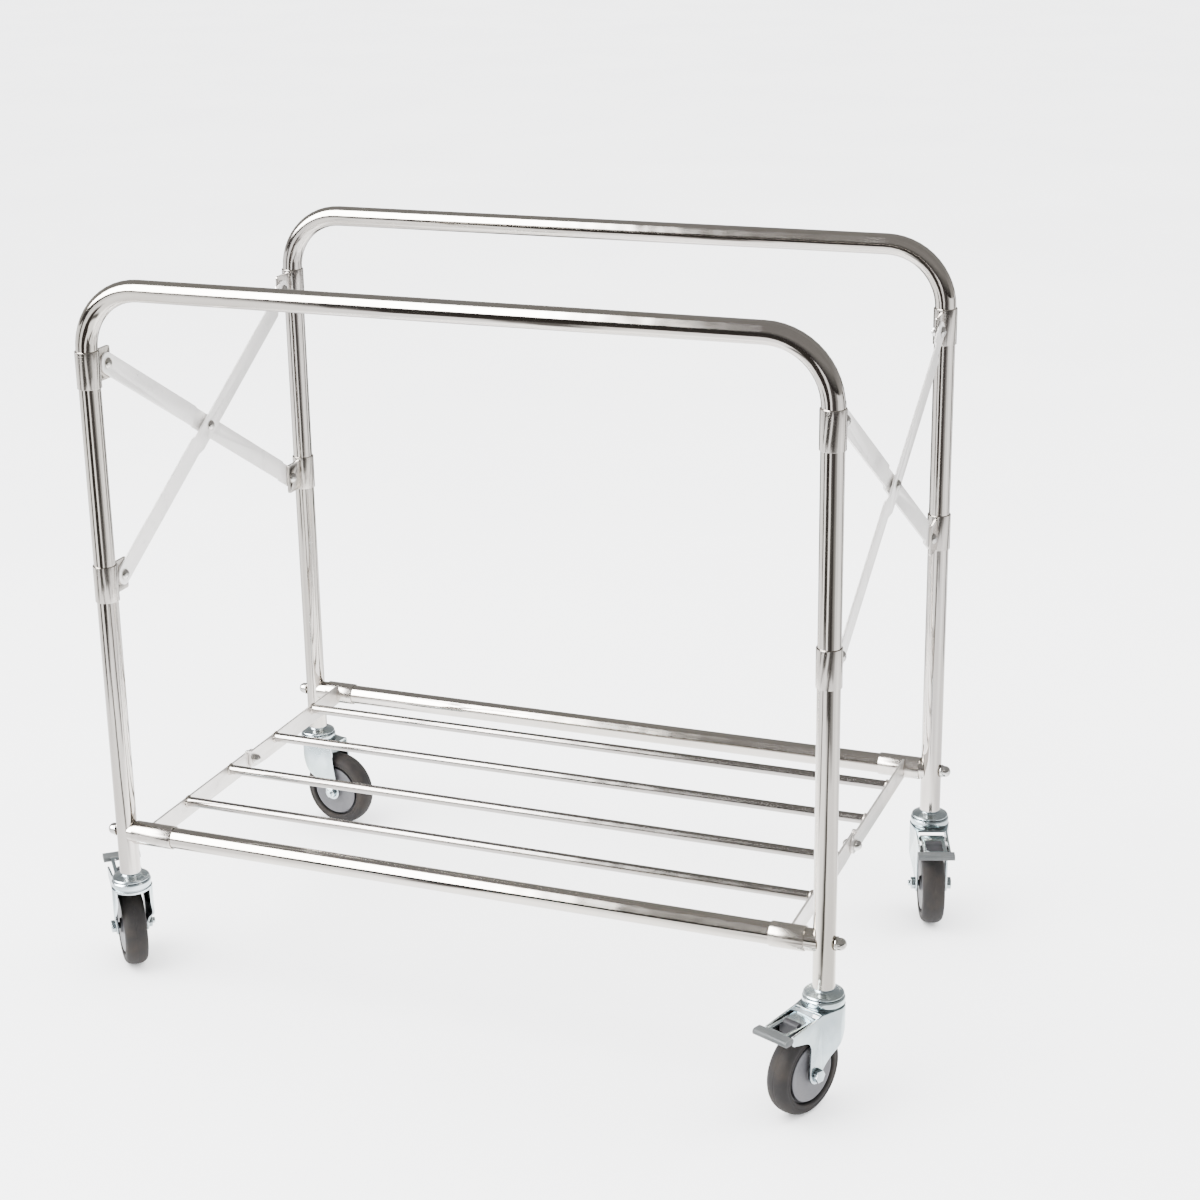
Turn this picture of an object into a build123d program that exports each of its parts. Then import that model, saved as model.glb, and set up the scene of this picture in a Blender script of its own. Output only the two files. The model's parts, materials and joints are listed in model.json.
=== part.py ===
from build123d import *
from math import asin, atan2, cos, hypot, radians, sin
import os

# Folding cart frame on four swivel casters, three of them braked. Millimetres.
# X runs along the cart, Y from the front frame (-Y) to the rear frame (+Y), Z up.
# The origin is on the floor, midway between the four legs.

# ---- driving dimensions ----
LEG_SPAN = 863.0          # between leg centres along X
FRAME_GAP = 492.0         # between the two side frames along Y, opened out
TOP_Z = 849.5             # centre line of the top bars
BEND_R = 72.0             # centre line radius of the two top bends
LEG_BOTTOM_Z = 137.0
RAIL_Z = 189.5            # centre line of the lower rails
TUBE_R = 12.5
TUBE_WALL = 1.2
COPE_GAP = 0.05           # between a coped tube end and the tube it meets

SLEEVE_R = 14.0           # collars on the legs and on the rail ends
SLEEVE_BORE_R = 12.85
SLEEVE_LEN = 43.0
UPPER_PIVOT_Z = 756.0
LOWER_PIVOT_Z = 503.0
PIVOT_OFFSET = 34.0       # from the leg centre to a brace pivot
EAR_REACH = 44.5
EAR_HEIGHT = 38.0
EAR_T = 3.0

BRACE_W = 25.0            # flat cross braces
BRACE_T = 2.5
BRACE_END = 12.0          # from an end hole to the tip
LAYER_GAP = 0.3
CENTRE_JOGGLE = 30.0      # from the centre hole to the joggle beside it
END_JOGGLE = 28.0         # from an end hole to the joggle beside it
JOGGLE_RUN = 8.0

BOLT_R = 3.0              # brace bolts
BOLT_CLEAR = 0.05
BOLT_HEAD_R = 6.5
BOLT_HEAD_H = 4.5
HEAD_RIM = 0.8
BOLT_NUT_R = 5.8
BOLT_NUT_H = 5.0
BOLT_SLACK = 0.2

RAIL_BOLT_R = 4.0         # bolts through the legs into the rail ends
RAIL_BOLT_LEN = 30.0
DOME_NUT_R = 8.0
DOME_NUT_H = 12.0

SHELF_PLATE_X = 396.0     # lap plane of the shelf end bars
SHELF_BAR_D = 25.0        # depth of a shelf end bar, on edge
SHELF_BAR_T = 3.0
SHELF_TIP_R = 10.5
SHELF_TAPER = 28.0
SHELF_ROD_R = 6.0
SHELF_ROD_RISE = 8.0
SHELF_RODS = (84.0, 189.0)            # from the rail centre line
SHELF_SLEEVE_LONG = (366.0, 418.2)    # rail collar that meets its leg
SHELF_SLEEVE_SHORT = (372.0, 411.0)   # rail collar that stops short of its leg
HINGE_PIN_R = 4.0
HINGE_HEAD_R = 6.5
HINGE_RIM = 2.0           # straight collar below the hinge bolt's round dome
STOP_TAB = (8.0, 12.5)    # from the hinge pin, along the bar
STOP_TAB_T = 1.6

WHEEL_R = 50.0
WHEEL_TRAIL = 34.0
TREAD_W = 28.0
HUB_R = 33.0
HUB_BOSS = (9.0, 14.5)      # radius and half length of the hub's boss
HUB_DISC_R = 24.0         # the hub's disc is flat inside this radius
HUB_STEP = 1.5            # how far the disc stands inside the tyre's faces
AXLE_R = 4.0
FORK_INNER = 17.0         # from the wheel's middle plane to the fork leg
FORK_T = 2.5
LEG_LEAD = -10.0          # leading edge of a fork leg at the crown
LEG_END_R = 10.5          # round end of a fork leg about the axle
FLARE_END = 26.0          # where the legs stop narrowing from the crown and run parallel
LEAD_FOOT_Z = 98.0        # the leading edge is upright above this height
LEAD_CURVE = ((-5.2, 83.5), (5.0, 71.0), (17.0, 61.5), (23.9, 52.9))  # down to the axle
GUARD_START = 26.0
GUARD_END = 75.0
GUARD_CHAMFER = 2.0
PLAIN_TRAIL_TOP = 33.5
CROWN_RING = (16.0, 23.5)  # raised ball race ring on the crown, inside and outside
RING_EDGE = 1.6
AXLE_NUT_R = 7.5
AXLE_NUT_H = 5.5
AXLE_TAIL = 3.5           # thread beyond the nut
AXLE_TAIL_R = 3.6
TYRE_BORE_R = 35.5
TREAD_EDGE_R = 8.0
CROWN_R = 24.5
CROWN_Z = 117.5           # top of the fork crown
PLATE_INSET = 0.7         # the crown plate stops short of the legs' outer faces
RACE_Z = 128.0            # underside of the upper race
RACE_R = 22.5
NECK_R = 11.0
STEM_R = 4.8
STEM_CLEAR_R = 6.0
STEM_HEAD_R = 8.0         # rivet head under the crown
STEM_HEAD_H = 3.0
STEM_GAP = 2.0
RACE_PROFILE = (          # upper race, a cup that rises to the neck: inset from its rim, rise
    (1.5, 0), (0.4, 0.5), (0, 1.4), (0.6, 2.4), (2.2, 3.2), (5, 4.0), (8.5, 5.0),
    (10.5, 6.2), (11.5, 7.6),
)
PLUG_LEN = 30.0
PLUG_GAP = 0.3
PLUG_TAPER = (2.0, 3.0)
PEDAL_PIVOT = (24.0, 105.5)
PEDAL_PIN_R = 3.2
PEDAL_Z = 113.0           # top of the lever
PEDAL_END = 82.0
PEDAL_HALF_W = 14.5
WINDOW = (48.0, 76.0)     # opening in the lever
WINDOW_HALF_W = 10.0
SHOE_LEN = 9.0
SHOE_LOW = 98.5
SHOE_LIP = 0.5            # the lip stops this far inside the lever's edges
SHOE_GAP = 0.3
GRIP_START = 78.0
GRIP_END = 92.0
GRIP_HALF_W = 22.5
GRIP_H = 7.5
GRIP_EDGE_R = 3.2
LEVER_T = 2.0
PEDAL_LIFT = 9.0          # degrees between brake on and brake off
CASTERS = {               # side of X, side of Y, trail heading, how far the lever is lifted
    "front_left": (-1, -1, 130.0, PEDAL_LIFT),
    "front_right": (1, -1, 247.0, 0),
    "rear_left": (-1, 1, -10.0, None),
    "rear_right": (1, 1, 289.0, 0),
}

# ---- sizes that follow ----
LEG_X = LEG_SPAN / 2
LEG_Y = FRAME_GAP / 2
PIVOT_Y = LEG_Y - PIVOT_OFFSET
CENTRE_Z = (UPPER_PIVOT_Z + LOWER_PIVOT_Z) / 2
BRACE_SPAN = hypot(2 * PIVOT_Y, UPPER_PIVOT_Z - LOWER_PIVOT_Z)
BRACE_ANGLE = atan2(UPPER_PIVOT_Z - LOWER_PIVOT_Z, 2 * PIVOT_Y)
BRACE_STEP = BRACE_T + 0.4
LAYER = EAR_T / 2 + LAYER_GAP + BRACE_T / 2
LAP = (SHELF_BAR_T + LAYER_GAP) / 2
SIDES = {"front": -1, "rear": 1}
ENDS = {"left": -1, "right": 1}

os.makedirs("parts", exist_ok=True)


def save(part, label):
    part.label = label
    export_step(part, f"parts/{label}.step")


def across(x, y, z):
    """A frame at a point whose local Z runs along the cart."""
    return Plane(origin=(x, y, z), x_dir=(0, 1, 0), z_dir=(1, 0, 0)).location


def outward(end, y, z, start):
    """A frame whose local Z points out of the cart's end, from start mm beyond the middle."""
    return Plane(origin=(end * start, y, z), x_dir=(0, 1, 0), z_dir=(end, 0, 0)).location


def dome_shoulder(radius, height):
    """Point halfway along the arc from a dome's rim to its top, from the rim's centre."""
    ball = (radius ** 2 + height ** 2) / (2 * height)
    half_turn = asin(radius / ball) / 2
    return ball * sin(half_turn), height - ball * (1 - cos(half_turn))


# ---- side frames ----
def side_frame_tube(side):
    with BuildPart() as tube:
        with BuildLine(Plane.XZ.offset(-side * LEG_Y)) as path:
            FilletPolyline(
                (-LEG_X, LEG_BOTTOM_Z), (-LEG_X, TOP_Z), (LEG_X, TOP_Z), (LEG_X, LEG_BOTTOM_Z),
                radius=BEND_R,
            )
        with BuildSketch(Plane(origin=path.line @ 0, z_dir=path.line % 0)):
            Circle(TUBE_R)
            Circle(TUBE_R - TUBE_WALL, mode=Mode.SUBTRACT)
        sweep()
        with Locations(*[(end * LEG_X, side * LEG_Y, RAIL_Z) for end in ENDS.values()]):
            Cylinder(
                RAIL_BOLT_R + BOLT_CLEAR, 2 * TUBE_R + 2, rotation=(0, 90, 0), mode=Mode.SUBTRACT
            )
    return tube.part


def lower_rail(side):
    """Tube between the legs, coped round them, with a threaded plug inside each end."""
    plug_end = LEG_X - TUBE_R - 2
    half = LEG_X - TUBE_R / 2
    with BuildPart() as rail:
        with BuildSketch(Plane.YZ.offset(-half)):
            with Locations((side * LEG_Y, RAIL_Z)):
                Circle(TUBE_R)
                Circle(TUBE_R - TUBE_WALL, mode=Mode.SUBTRACT)
        extrude(amount=2 * half)
        for end in ENDS.values():
            with BuildSketch(Plane.YZ.offset(end * plug_end)):
                with Locations((side * LEG_Y, RAIL_Z)):
                    Circle(TUBE_R - TUBE_WALL)
            extrude(amount=-end * RAIL_BOLT_LEN)
            with Locations((end * plug_end, side * LEG_Y, RAIL_Z)):
                Cylinder(
                    RAIL_BOLT_R + BOLT_CLEAR, 2 * RAIL_BOLT_LEN, rotation=(0, 90, 0),
                    mode=Mode.SUBTRACT,
                )
            with Locations((end * LEG_X, side * LEG_Y, RAIL_Z)):
                Cylinder(TUBE_R + COPE_GAP, 4 * TUBE_R, mode=Mode.SUBTRACT)
    return rail.part


def eared_sleeve(end, side, pivot_z, bore_r):
    """Collar round a leg with a flat ear that points at the other frame."""
    with BuildPart() as sleeve:
        with BuildSketch(Plane.XY.offset(pivot_z - SLEEVE_LEN / 2)):
            with Locations((end * LEG_X, side * LEG_Y)):
                Circle(SLEEVE_R)
        extrude(amount=SLEEVE_LEN)
        with BuildSketch(Plane.YZ.offset(end * LEG_X - EAR_T / 2)):
            with Locations((side * (LEG_Y - EAR_REACH / 2), pivot_z)):
                RectangleRounded(EAR_REACH, EAR_HEIGHT, 3)
        extrude(amount=EAR_T)
        with BuildSketch(Plane.XY.offset(pivot_z - SLEEVE_LEN / 2)):
            with Locations((end * LEG_X, side * LEG_Y)):
                Circle(bore_r)
        extrude(amount=SLEEVE_LEN, mode=Mode.SUBTRACT)
        with Locations((end * LEG_X, side * PIVOT_Y, pivot_z)):
            Cylinder(BOLT_R + BOLT_CLEAR, 2 * EAR_T, rotation=(0, 90, 0), mode=Mode.SUBTRACT)
    return sleeve.part


def dome_bolt(low, high, radius=BOLT_R, head_r=BOLT_HEAD_R, head_h=BOLT_HEAD_H):
    """Dome-headed bolt along local Z: the head rests at high and the nut at low."""
    shoulder = dome_shoulder(head_r, head_h - HEAD_RIM)
    with BuildPart() as bolt:
        with BuildSketch(Plane.XZ):
            with BuildLine():
                Line((0, low), (radius, low))
                Line((radius, low), (radius, high))
                Line((radius, high), (head_r, high))
                Line((head_r, high), (head_r, high + HEAD_RIM))
                ThreePointArc(
                    (head_r, high + HEAD_RIM),
                    (shoulder[0], high + HEAD_RIM + shoulder[1]),
                    (0, high + head_h),
                )
                Line((0, high + head_h), (0, low))
            make_face()
        revolve(axis=Axis.Z)
        with BuildSketch(Plane.XY.offset(low - BOLT_NUT_H)):
            RegularPolygon(BOLT_NUT_R * radius / BOLT_R, 6)
        extrude(amount=BOLT_NUT_H)
        with BuildSketch(Plane.XY.offset(low - BOLT_NUT_H - 1.5)):
            Circle(radius)
        extrude(amount=1.5)
    return bolt.part


def rail_bolt():
    """Bolt with a dome nut along local Z, which starts at the leg's centre line."""
    dome_r = DOME_NUT_R - 1
    dome_z = TUBE_R + DOME_NUT_H / 2
    shoulder = dome_shoulder(dome_r, DOME_NUT_H / 2)
    with BuildPart() as bolt:
        with BuildSketch(Plane.XZ):
            with BuildLine():
                Line((0, -RAIL_BOLT_LEN), (RAIL_BOLT_R, -RAIL_BOLT_LEN))
                Line((RAIL_BOLT_R, -RAIL_BOLT_LEN), (RAIL_BOLT_R, TUBE_R))
                Line((RAIL_BOLT_R, TUBE_R), (DOME_NUT_R, TUBE_R))
                Line((DOME_NUT_R, TUBE_R), (DOME_NUT_R, TUBE_R + 2))
                Line((DOME_NUT_R, TUBE_R + 2), (dome_r, TUBE_R + 3))
                Line((dome_r, TUBE_R + 3), (dome_r, dome_z))
                ThreePointArc(
                    (dome_r, dome_z), (shoulder[0], dome_z + shoulder[1]), (0, TUBE_R + DOME_NUT_H)
                )
                Line((0, TUBE_R + DOME_NUT_H), (0, -RAIL_BOLT_LEN))
            make_face()
        revolve(axis=Axis.Z)
    return bolt.part


def caster_stem(end, side):
    """Plug inside the leg, neck, upper ball race and stem, which stay still."""
    plug_r = TUBE_R - TUBE_WALL - PLUG_GAP
    shoulder_r = TUBE_R - PLUG_GAP
    plug_top = LEG_BOTTOM_Z + PLUG_LEN
    head_top = CROWN_Z - FORK_T - STEM_GAP
    with BuildPart() as stem:
        with BuildSketch(Plane.XZ):
            with BuildLine():
                Polyline(
                    (0, head_top - STEM_HEAD_H), (STEM_HEAD_R, head_top - STEM_HEAD_H),
                    (STEM_HEAD_R, head_top), (STEM_R, head_top), (STEM_R, RACE_Z),
                    *[(RACE_R - inset, RACE_Z + rise) for inset, rise in RACE_PROFILE],
                    (NECK_R, LEG_BOTTOM_Z - 1), (shoulder_r, LEG_BOTTOM_Z - 1),
                    (shoulder_r, LEG_BOTTOM_Z), (plug_r, LEG_BOTTOM_Z),
                    (plug_r, plug_top - PLUG_TAPER[1]), (plug_r - PLUG_TAPER[0], plug_top),
                    (0, plug_top), close=True,
                )
            make_face()
        revolve(axis=Axis.Z)
    return stem.part.moved(Location((end * LEG_X, side * LEG_Y, 0)))


for name, side in SIDES.items():
    save(side_frame_tube(side), f"{name}_frame_tube")
    save(lower_rail(side), f"{name}_lower_rail")
    sleeves = [eared_sleeve(end, side, UPPER_PIVOT_Z, TUBE_R) for end in ENDS.values()]
    save(Compound(children=sleeves), f"{name}_upper_sleeves")
    brace_bolt = dome_bolt(-EAR_T / 2, LAYER + BRACE_T / 2 + BOLT_SLACK)
    bolts = []
    for end in ENDS.values():
        bolts.append(brace_bolt.moved(across(end * LEG_X, side * PIVOT_Y, UPPER_PIVOT_Z)))
        bolts.append(rail_bolt().moved(outward(end, side * LEG_Y, RAIL_Z, LEG_X)))
    save(Compound(children=bolts), f"{name}_frame_bolts")
    stems = [caster_stem(end, side) for end in ENDS.values()]
    save(Compound(children=stems), f"{name}_caster_stems")


# ---- cross braces and the lower sleeves they push along the legs ----
def brace(heights):
    """Flat bar along local X with joggles: heights are (place, local Z) along its length."""
    upper = [(place, height + BRACE_T / 2) for place, height in heights]
    lower = [(place, height - BRACE_T / 2) for place, height in reversed(heights)]
    half = BRACE_SPAN / 2
    with BuildPart() as bar:
        with BuildSketch(Plane.XZ):
            with BuildLine():
                Polyline(*upper, *lower, close=True)
            make_face()
        extrude(amount=BRACE_W / 2, both=True)
        with BuildSketch():
            SlotCenterToCenter(BRACE_SPAN + 2 * BRACE_END - BRACE_W, BRACE_W)
        extrude(amount=4 * BRACE_W, both=True, mode=Mode.INTERSECT)
        with Locations((-half, 0, 0), (0, 0, 0), (half, 0, 0)):
            Cylinder(BOLT_R + BOLT_CLEAR, 8 * BRACE_T, mode=Mode.SUBTRACT)
    return bar.part


def brace_place(end, lean):
    """Brace frame: local X climbs towards the front (-1) or the rear (+1), local Z is +X."""
    climb = (0, lean * cos(BRACE_ANGLE), sin(BRACE_ANGLE))
    return Plane(origin=(end * LEG_X, 0, CENTRE_Z), x_dir=climb, z_dir=(1, 0, 0)).location


tip = BRACE_SPAN / 2 + BRACE_END + 1
end_in = BRACE_SPAN / 2 - END_JOGGLE
middle_a = LAYER - BRACE_STEP
middle_b = LAYER + BRACE_STEP
brace_a = brace([
    (-tip, -LAYER), (-end_in, -LAYER), (-end_in + JOGGLE_RUN, middle_a),
    (CENTRE_JOGGLE, middle_a), (CENTRE_JOGGLE + JOGGLE_RUN, LAYER), (tip, LAYER),
])
brace_b = brace([
    (-tip, LAYER), (-CENTRE_JOGGLE - JOGGLE_RUN, LAYER), (-CENTRE_JOGGLE, middle_b),
    (end_in - JOGGLE_RUN, middle_b), (end_in, LAYER), (tip, LAYER),
])
spacer_low = middle_a + BRACE_T / 2 + BOLT_SLACK
spacer_high = middle_b - BRACE_T / 2 - BOLT_SLACK
with BuildPart() as centre_bolt:
    add(dome_bolt(middle_a - BRACE_T / 2, middle_b + BRACE_T / 2 + BOLT_SLACK))
    with BuildSketch(Plane.XY.offset(spacer_low)):
        Circle(BOLT_HEAD_R + 1)
    extrude(amount=spacer_high - spacer_low)

for name, end in ENDS.items():
    save(brace_a.moved(brace_place(end, -1)), f"{name}_brace_down_rear")
    save(brace_b.moved(brace_place(end, 1)), f"{name}_brace_down_front")
    save(centre_bolt.part.moved(across(end * LEG_X, 0, CENTRE_Z)), f"{name}_centre_bolt")

outer_face = LAYER + BRACE_T / 2 + BOLT_SLACK
slider_bolts = {
    "front": dome_bolt(-EAR_T / 2, outer_face),
    "rear": dome_bolt(-outer_face, EAR_T / 2),
}
for side_name, side in SIDES.items():
    for end_name, end in ENDS.items():
        name = f"{side_name}_{end_name}"
        save(eared_sleeve(end, side, LOWER_PIVOT_Z, SLEEVE_BORE_R), f"{name}_slider")
        place = across(end * LEG_X, side * PIVOT_Y, LOWER_PIVOT_Z)
        save(slider_bolts[side_name].moved(place), f"{name}_slider_bolt")


# ---- folding shelf: two equal halves, the rear one turned half a turn about Z ----
def shelf_bar(x, tab):
    """Flat bar on edge from the rail collar to the middle hinge; tab carries the stop."""
    half = SHELF_BAR_D / 2
    tip_shoulder = (SHELF_TIP_R * cos(radians(45)), half * sin(radians(45)))
    hinge = Plane(origin=(x - SHELF_BAR_T / 2, 0, RAIL_Z), x_dir=(0, 1, 0), z_dir=(1, 0, 0))
    with BuildPart() as bar:
        with BuildSketch(hinge):
            with BuildLine():
                Line((-LEG_Y, half), (-LEG_Y, -half))
                Line((-LEG_Y, -half), (-SHELF_TAPER, -half))
                Line((-SHELF_TAPER, -half), (0, -SHELF_TIP_R))
                CenterArc((0, 0), SHELF_TIP_R, 270, 90)
                if tab:
                    Line((SHELF_TIP_R, 0), (SHELF_TIP_R, half))
                    Line((SHELF_TIP_R, half), (-LEG_Y, half))
                else:
                    ThreePointArc((SHELF_TIP_R, 0), tip_shoulder, (0, half))
                    Line((0, half), (-LEG_Y, half))
            make_face()
        extrude(amount=SHELF_BAR_T)
        if tab:
            with BuildSketch(hinge):
                with Locations((sum(STOP_TAB) / 2, half)):
                    Rectangle(STOP_TAB[1] - STOP_TAB[0], 2 * (STOP_TAB_T + LAYER_GAP))
            extrude(amount=SHELF_BAR_T)
            with BuildSketch(hinge):
                with Locations((sum(STOP_TAB) / 2, half + LAYER_GAP + STOP_TAB_T / 2)):
                    Rectangle(STOP_TAB[1] - STOP_TAB[0], STOP_TAB_T)
            extrude(amount=2 * SHELF_BAR_T + LAYER_GAP)
        with Locations((x, -LEG_Y, RAIL_Z)):
            Cylinder(SLEEVE_R, 2 * SHELF_BAR_D, rotation=(0, 90, 0), mode=Mode.SUBTRACT)
        with Locations((x, 0, RAIL_Z)):
            Cylinder(HINGE_PIN_R, 4 * SHELF_BAR_T, rotation=(0, 90, 0), mode=Mode.SUBTRACT)
    return bar.part


def rail_collar(start, stop):
    with BuildPart() as collar:
        with BuildSketch(Plane.YZ.offset(start)):
            with Locations((-LEG_Y, RAIL_Z)):
                Circle(SLEEVE_R)
                Circle(SLEEVE_BORE_R, mode=Mode.SUBTRACT)
        extrude(amount=stop - start)
    return collar.part


def shelf_rod(distance, start, stop):
    with BuildPart() as rod:
        with BuildSketch(Plane.YZ.offset(start)):
            with Locations((distance - LEG_Y, RAIL_Z + SHELF_ROD_RISE)):
                Circle(SHELF_ROD_R)
        extrude(amount=stop - start)
    return rod.part


def hinge_half():
    """One end of the split hinge bolt: dome outside its bar, shank only as deep as the bar."""
    rim_z = SHELF_BAR_T + HINGE_RIM
    top_z = rim_z + HINGE_HEAD_R
    shoulder = dome_shoulder(HINGE_HEAD_R, HINGE_HEAD_R)
    with BuildPart() as half:
        with BuildSketch(Plane.XZ):
            with BuildLine():
                Polyline(
                    (0, 0), (HINGE_PIN_R, 0), (HINGE_PIN_R, SHELF_BAR_T),
                    (HINGE_HEAD_R, SHELF_BAR_T), (HINGE_HEAD_R, rim_z),
                )
                ThreePointArc(
                    (HINGE_HEAD_R, rim_z),
                    (shoulder[0], rim_z + shoulder[1]),
                    (0, top_z),
                )
                Line((0, top_z), (0, 0))
            make_face()
        revolve(axis=Axis.Z)
    return half.part


outer_bar_x = -SHELF_PLATE_X - LAP
inner_bar_x = SHELF_PLATE_X - LAP
inner_faces = (outer_bar_x + SHELF_BAR_T / 2, inner_bar_x - SHELF_BAR_T / 2)
outer_dome = outward(-1, 0, RAIL_Z, SHELF_PLATE_X + LAYER_GAP / 2)
inner_dome = Plane(
    origin=(SHELF_PLATE_X - LAYER_GAP / 2, 0, RAIL_Z), x_dir=(0, 1, 0), z_dir=(-1, 0, 0)
).location
shelf_parts = {
    "shelf_plain_bar": shelf_bar(outer_bar_x, False),
    "shelf_stop_bar": shelf_bar(inner_bar_x, True),
    "shelf_collars": Compound(children=[
        rail_collar(-SHELF_SLEEVE_LONG[1], -SHELF_SLEEVE_LONG[0]),
        rail_collar(*SHELF_SLEEVE_SHORT),
    ]),
    "shelf_rods": Compound(children=[shelf_rod(place, *inner_faces) for place in SHELF_RODS]),
    "shelf_hinge_domes": Compound(children=[
        hinge_half().moved(outer_dome), hinge_half().moved(inner_dome),
    ]),
}
for label, part in shelf_parts.items():
    save(part, f"front_{label}")
    save(part.moved(Location((0, 0, 0), (0, 0, 180))), f"rear_{label}")


# ---- casters, drawn with the swivel at the origin and the wheel trailing along +X ----
def leg_outer(x):
    """Half width of the fork over its legs' outer faces, at x from the swivel."""
    if x <= 0:
        return (CROWN_R ** 2 - x ** 2) ** 0.5
    return CROWN_R + (FORK_INNER + FORK_T - CROWN_R) * min(x / FLARE_END, 1)


def leg_inner(x):
    if x <= 0:
        return ((CROWN_R - FORK_T) ** 2 - x ** 2) ** 0.5
    return leg_outer(x) - FORK_T


def fork(braked):
    """Stamped fork whose legs wrap round the crown and narrow to the wheel; a braked one has guards."""
    crown_end = GUARD_START if braked else PLAIN_TRAIL_TOP
    low = CROWN_Z - FORK_T
    wrap = LEG_LEAD / 2
    far = GUARD_END + FORK_T
    axle_edge = WHEEL_TRAIL + LEG_END_R
    with BuildPart() as body:
        for side in (-1, 1):
            with BuildSketch():
                with BuildLine():
                    ThreePointArc(*[(x, side * leg_outer(x)) for x in (LEG_LEAD, wrap, 0)])
                    Polyline(*[(x, side * leg_outer(x)) for x in (0, FLARE_END, far)])
                    Line((far, side * leg_outer(far)), (far, side * leg_inner(far)))
                    Polyline(*[(x, side * leg_inner(x)) for x in (far, FLARE_END, 0)])
                    ThreePointArc(*[(x, side * leg_inner(x)) for x in (0, wrap, LEG_LEAD)])
                    Line((LEG_LEAD, side * leg_inner(LEG_LEAD)), (LEG_LEAD, side * leg_outer(LEG_LEAD)))
                make_face()
            extrude(amount=CROWN_Z)
        with BuildSketch(Plane.XZ):
            with BuildLine():
                Line((crown_end, CROWN_Z), (LEG_LEAD, CROWN_Z))
                Line((LEG_LEAD, CROWN_Z), (LEG_LEAD, LEAD_FOOT_Z))
                ThreePointArc((LEG_LEAD, LEAD_FOOT_Z), *LEAD_CURVE[:2])
                ThreePointArc(*LEAD_CURVE[1:])
                ThreePointArc(
                    LEAD_CURVE[3], (WHEEL_TRAIL, WHEEL_R - LEG_END_R), (axle_edge, WHEEL_R)
                )
                if braked:
                    Line((axle_edge, WHEEL_R), (43.6, 80))
                    ThreePointArc((43.6, 80), (45.3, 89.5), (53, 95))
                    Line((53, 95), (GUARD_END - GUARD_CHAMFER, 100))
                    Line((GUARD_END - GUARD_CHAMFER, 100), (GUARD_END, 111.5))
                    Line((GUARD_END, 111.5), (crown_end, CROWN_Z))
                else:
                    ThreePointArc((axle_edge, WHEEL_R), (39.6, 73.5), (35.2, 109))
                    Line((35.2, 109), (crown_end, CROWN_Z))
            make_face()
        extrude(amount=2 * CROWN_R, both=True, mode=Mode.INTERSECT)
        with BuildSketch(Plane.XY.offset(low)):
            Circle(CROWN_R - PLATE_INSET)
            with BuildLine():
                Polyline(*[
                    (x, side * (leg_outer(x) - 2 * PLATE_INSET)) for x, side in
                    ((0, -1), (crown_end - PLATE_INSET, -1), (crown_end - PLATE_INSET, 1), (0, 1))
                ], close=True)
            make_face()
            Circle(STEM_CLEAR_R, mode=Mode.SUBTRACT)
        extrude(amount=FORK_T)
        with BuildSketch(Plane.XZ):
            with BuildLine():
                Polyline(
                    (CROWN_RING[0], low + 1), (CROWN_RING[1] - 1, low + 1),
                    (CROWN_RING[1] - 1, CROWN_Z + 1.4), (CROWN_RING[1], CROWN_Z + 2.4),
                    (CROWN_RING[1], RACE_Z - RING_EDGE - 0.6), (CROWN_RING[1] - RING_EDGE, RACE_Z - 0.6),
                    (CROWN_RING[0] + 2, RACE_Z - 0.6), (CROWN_RING[0], RACE_Z - 3), close=True,
                )
            make_face()
        revolve(axis=Axis.Z)
        with Locations((WHEEL_TRAIL, 0, WHEEL_R)):
            Cylinder(AXLE_R + 0.1, 6 * FORK_INNER, rotation=(90, 0, 0), mode=Mode.SUBTRACT)
    return body.part


def axle():
    """Axle bolt with a hexagon head and nut outside the fork, and thread beyond the nut."""
    seat = FORK_INNER + FORK_T
    with BuildPart() as bolt:
        with BuildSketch(Plane.XZ.offset(-seat - AXLE_NUT_H)):
            with Locations((WHEEL_TRAIL, WHEEL_R)):
                Circle(AXLE_R)
        extrude(amount=2 * (seat + AXLE_NUT_H))
        for face in (-seat - AXLE_NUT_H, seat):
            with BuildSketch(Plane.XZ.offset(face)):
                with Locations((WHEEL_TRAIL, WHEEL_R)):
                    RegularPolygon(AXLE_NUT_R, 6)
            extrude(amount=AXLE_NUT_H)
        with BuildSketch(Plane.XZ.offset(seat + AXLE_NUT_H)):
            with Locations((WHEEL_TRAIL, WHEEL_R)):
                Circle(AXLE_TAIL_R)
        extrude(amount=AXLE_TAIL)
    return bolt.part


def ring_of(points):
    """Solid ring about the axle from (radius, side) points."""
    with BuildPart() as ring:
        with BuildSketch(Plane.XZ):
            with BuildLine():
                Polyline(*points, close=True)
            make_face()
        revolve(axis=Axis.Z)
    turn = Plane(origin=(WHEEL_TRAIL, 0, WHEEL_R), x_dir=(1, 0, 0), z_dir=(0, 1, 0)).location
    return ring.part.moved(turn)


def tyre():
    half = TREAD_W / 2
    bend = TREAD_EDGE_R
    edge = [(WHEEL_R - bend + bend * cos(a), half - bend + bend * sin(a)) for a in
            [radians(10 * step) for step in range(10)]]
    mirrored = [(radius, -place) for radius, place in reversed(edge)]
    return ring_of([
        (TYRE_BORE_R, half - 2), (TYRE_BORE_R + 3.5, half), *reversed(edge),
        *reversed(mirrored), (TYRE_BORE_R + 3.5, -half), (TYRE_BORE_R, -half + 2),
    ])


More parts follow.
